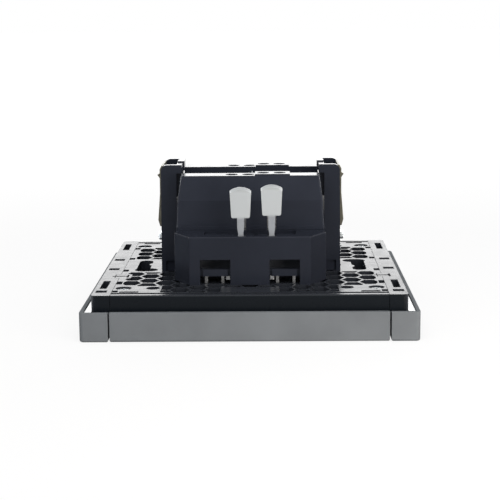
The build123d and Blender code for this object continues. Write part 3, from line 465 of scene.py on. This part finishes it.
# Claw screws: long screws turned from the front that pull the claws outward.
# They are zinc plated steel with a rolled thread, here a ridge of its own on the shank,
# and run in a square zinc plated nut below the foot of the claw.
thread_root = 0.00140
thread_crest = 0.00160
thread_pitch = 0.00080
thread_foot = 0.45
thread_steps = 24
claw_screw_edge = 0.0001
nut_half = 0.00242
nut_height = 0.0020
nut_gap = 0.0025
nut_round = 0.0005
for side in ("left", "right"):
    dress(f"claw_screw_{side}", zinc_plate)
    round_edges(f"claw_screw_{side}", claw_screw_edge)
    low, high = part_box(f"claw_screw_{side}")
    axis_x = (low.x + high.x) / 2
    thread_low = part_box("support_plate")[1].z + thread_pitch
    turns = int((high.z - thread_pitch - thread_low) / thread_pitch)
    points = []
    faces = []
    for i in range(turns * thread_steps + 1):
        turn = 2 * pi * i / thread_steps
        rise = thread_low + thread_pitch * i / thread_steps
        for radius, lift in ((thread_root, -thread_foot), (thread_crest, 0), (thread_root, thread_foot)):
            x = axis_x + radius * cos(turn)
            points.append((x, radius * sin(turn), rise + lift * thread_pitch))
        if i:
            a = 3 * (i - 1)
            b = 3 * i
            faces += [(a, b, b + 1, a + 1), (a + 1, b + 1, b + 2, a + 2), (a + 2, b + 2, b, a)]
    faces += [(0, 1, 2), (len(points) - 1, len(points) - 2, len(points) - 3)]
    thread = added_piece(f"claw_thread_{side}", points, faces, zinc_plate)
    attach(thread, f"claw_screw_{side}_body")
    nut_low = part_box(f"claw_{side}")[0].z - nut_gap - nut_height
    nut = block(f"claw_nut_{side}", (axis_x - nut_half, -nut_half, nut_low),
                (axis_x + nut_half, nut_half, nut_low + nut_height), zinc_plate, "base")
    nut_edge = nut.modifiers.new("rounded_edges", "BEVEL")
    nut_edge.width = nut_round
    nut_edge.segments = 3


# Claws: bent steel plates in the towers that spread and bite into the wall box.
# They are stamped with teeth, folded, and passivated to a brownish grey.
claw_tone = (0.105, 0.100, 0.080)
claw_edge = 0.00012
passivated_steel = plated_steel("passivated_steel", claw_tone, roughness=0.42, scratch=0.25)
for side in ("left", "right"):
    dress(f"claw_{side}", passivated_steel)
    round_edges(f"claw_{side}", claw_edge)


# Studio: a painted table that glows white, more so farther out, in a white surround.
# A wide soft lamp behind the object shines along the flat tops, and softer lamps fill in from
# the front and above. A strip lamp and a small card at each side show in the glossy faces.
table_half = 4
table_drop = 0.00005
table_grey = 0.55
table_white = 1.16
sweep_start = 0.15
sweep_end = 0.50
glow_near = 0.70
glow_far = 0.86
white_table = bpy.data.materials.new("white_table")
white_table.use_nodes = True
table_tree = white_table.node_tree
table_tree.nodes.remove(table_tree.nodes["Principled BSDF"])
table_paint = table_tree.nodes.new("ShaderNodeBsdfDiffuse")
table_paint.inputs["Color"].default_value = (table_grey, table_grey, table_grey, 1)
table_glow = table_tree.nodes.new("ShaderNodeEmission")
table_glow.inputs["Strength"].default_value = table_white
table_mix = table_tree.nodes.new("ShaderNodeMixShader")


def seen_directly(tree):
    path = tree.nodes.new("ShaderNodeLightPath")
    first = tree.nodes.new("ShaderNodeMath")
    first.operation = "MAXIMUM"
    tree.links.new(path.outputs["Is Camera Ray"], first.inputs[0])
    tree.links.new(path.outputs["Is Glossy Ray"], first.inputs[1])
    both = tree.nodes.new("ShaderNodeMath")
    both.operation = "MAXIMUM"
    tree.links.new(first.outputs["Value"], both.inputs[0])
    tree.links.new(path.outputs["Is Transmission Ray"], both.inputs[1])
    return both.outputs["Value"]


table_share = table_tree.nodes.new("ShaderNodeMath")
table_share.operation = "MULTIPLY"
table_place = table_tree.nodes.new("ShaderNodeTexCoord")
table_reach = table_tree.nodes.new("ShaderNodeVectorMath")
table_reach.operation = "LENGTH"
table_tree.links.new(table_place.outputs["Object"], table_reach.inputs[0])
table_sweep = table_tree.nodes.new("ShaderNodeMapRange")
table_sweep.inputs["From Min"].default_value = sweep_start
table_sweep.inputs["From Max"].default_value = sweep_end
table_sweep.inputs["To Min"].default_value = glow_near
table_sweep.inputs["To Max"].default_value = glow_far
table_tree.links.new(table_reach.outputs["Value"], table_sweep.inputs["Value"])
table_tree.links.new(table_sweep.outputs["Result"], table_share.inputs[1])
table_tree.links.new(seen_directly(table_tree), table_share.inputs[0])
table_tree.links.new(table_share.outputs["Value"], table_mix.inputs["Fac"])
table_tree.links.new(table_paint.outputs["BSDF"], table_mix.inputs[1])
table_tree.links.new(table_glow.outputs["Emission"], table_mix.inputs[2])
table_out = table_tree.nodes["Material Output"]
table_tree.links.new(table_mix.outputs["Shader"], table_out.inputs["Surface"])
corners = [(-table_half, -table_half), (table_half, -table_half),
           (table_half, table_half), (-table_half, table_half)]
points = [(x, y, -table_drop) for x, y in corners]
table_top = added_piece("table", points, [(0, 1, 2, 3)], white_table)

surround_fill = 0.38
surround_white = 1.0
surround = bpy.data.worlds.new("surround")
bpy.context.scene.world = surround
surround.use_nodes = True
surround_tree = surround.node_tree
surround_light = surround_tree.nodes["Background"]
surround_light.inputs["Color"].default_value = (1, 1, 1, 1)
surround_level = surround_tree.nodes.new("ShaderNodeMapRange")
surround_level.inputs["To Min"].default_value = surround_fill
surround_level.inputs["To Max"].default_value = surround_white
surround_tree.links.new(seen_directly(surround_tree), surround_level.inputs["Value"])
surround_tree.links.new(surround_level.outputs["Result"], surround_light.inputs["Strength"])


def soft_lamp(name, spot, target, width, height, watts):
    data = bpy.data.lights.new(name, "AREA")
    data.shape = "RECTANGLE"
    data.size = width
    data.size_y = height
    data.energy = watts
    lamp = bpy.data.objects.new(name, data)
    bpy.context.scene.collection.objects.link(lamp)
    lamp.location = spot
    lamp.rotation_euler = (Vector(target) - Vector(spot)).to_track_quat("-Z", "Y").to_euler()
    lamp.visible_camera = False
    return lamp


aim = (0, 0, 0.02)
soft_lamp("lamp_behind", spot=(0, 1.0, 0.22), target=aim, width=1.8, height=0.5, watts=7.4)
soft_lamp("lamp_front_right", spot=(0.5, -0.9, 0.7), target=aim, width=0.7, height=0.7, watts=3.7)
soft_lamp("lamp_above", spot=(-0.1, -0.45, 0.92), target=(0, 0, 0), width=0.9, height=0.9, watts=5.0)
soft_lamp("lamp_front_left", spot=(-0.45, -0.8, 0.35), target=aim, width=0.5, height=0.5, watts=1.3)
near_lamp = soft_lamp("lamp_near_right", spot=(0.12, -0.16, 0.03), target=(0.03, -0.03, 0.01),
                      width=0.1, height=0.1, watts=0.20)
near_lamp.data.color = (1.0, 0.92, 0.84)
for name, x, watts in (("strip_lamp_left", -0.5, 8.5), ("strip_lamp_right", 0.5, 9.5)):
    strip_lamp = soft_lamp(name, spot=(x, 0.02, 0.20), target=aim, width=0.26, height=0.4, watts=watts)
    strip_lamp.visible_diffuse = False

card_x = 0.078
card_near = -0.12
card_far = 0.06
card_top = 0.06
card_blue = (0.40, 0.46, 0.58)
card_black = (0.02, 0.02, 0.02)
for x, card_tone in ((-card_x, card_blue), (card_x, card_black)):
    card_paint = bpy.data.materials.new("card_paint")
    card_paint.use_nodes = True
    card_shader = card_paint.node_tree.nodes["Principled BSDF"]
    card_shader.inputs["Base Color"].default_value = (*card_tone, 1)
    points = [(x, card_near, 0), (x, card_far, 0), (x, card_far, card_top), (x, card_near, card_top)]
    card = added_piece("side_card", points, [(0, 1, 2, 3)], card_paint)
    card.visible_camera = False
    card.visible_diffuse = False
    card.visible_shadow = False
bpy.context.scene.view_settings.view_transform = "Standard"


# Camera: at the height and distance from which the photograph was taken, with a long lens.
# It looks down by about ten degrees, and is turned and rolled by less than one.
camera_spot = Vector((0.00564, -0.37604, 0.08351))
camera_data = bpy.data.cameras.new("camera")
camera_data.sensor_width = 36
camera_data.lens = 98.0
camera = bpy.data.objects.new("camera", camera_data)
bpy.context.scene.collection.objects.link(camera)
pitch = radians(10.209)
yaw = radians(-0.918)
roll = radians(-0.493)
level_ahead = Vector((sin(yaw), cos(yaw), 0))
level_right = Vector((cos(yaw), -sin(yaw), 0))
ahead = level_ahead * cos(pitch) - Vector((0, 0, sin(pitch)))
upward = Vector((0, 0, cos(pitch))) + level_ahead * sin(pitch)
right = level_right * cos(roll) + upward * sin(roll)
top = upward * cos(roll) - level_right * sin(roll)
camera.matrix_world = Matrix((
    (right.x, top.x, -ahead.x, camera_spot.x),
    (right.y, top.y, -ahead.y, camera_spot.y),
    (right.z, top.z, -ahead.z, camera_spot.z),
    (0, 0, 0, 1)))
camera_data.clip_start = 0.01
bpy.context.scene.camera = camera
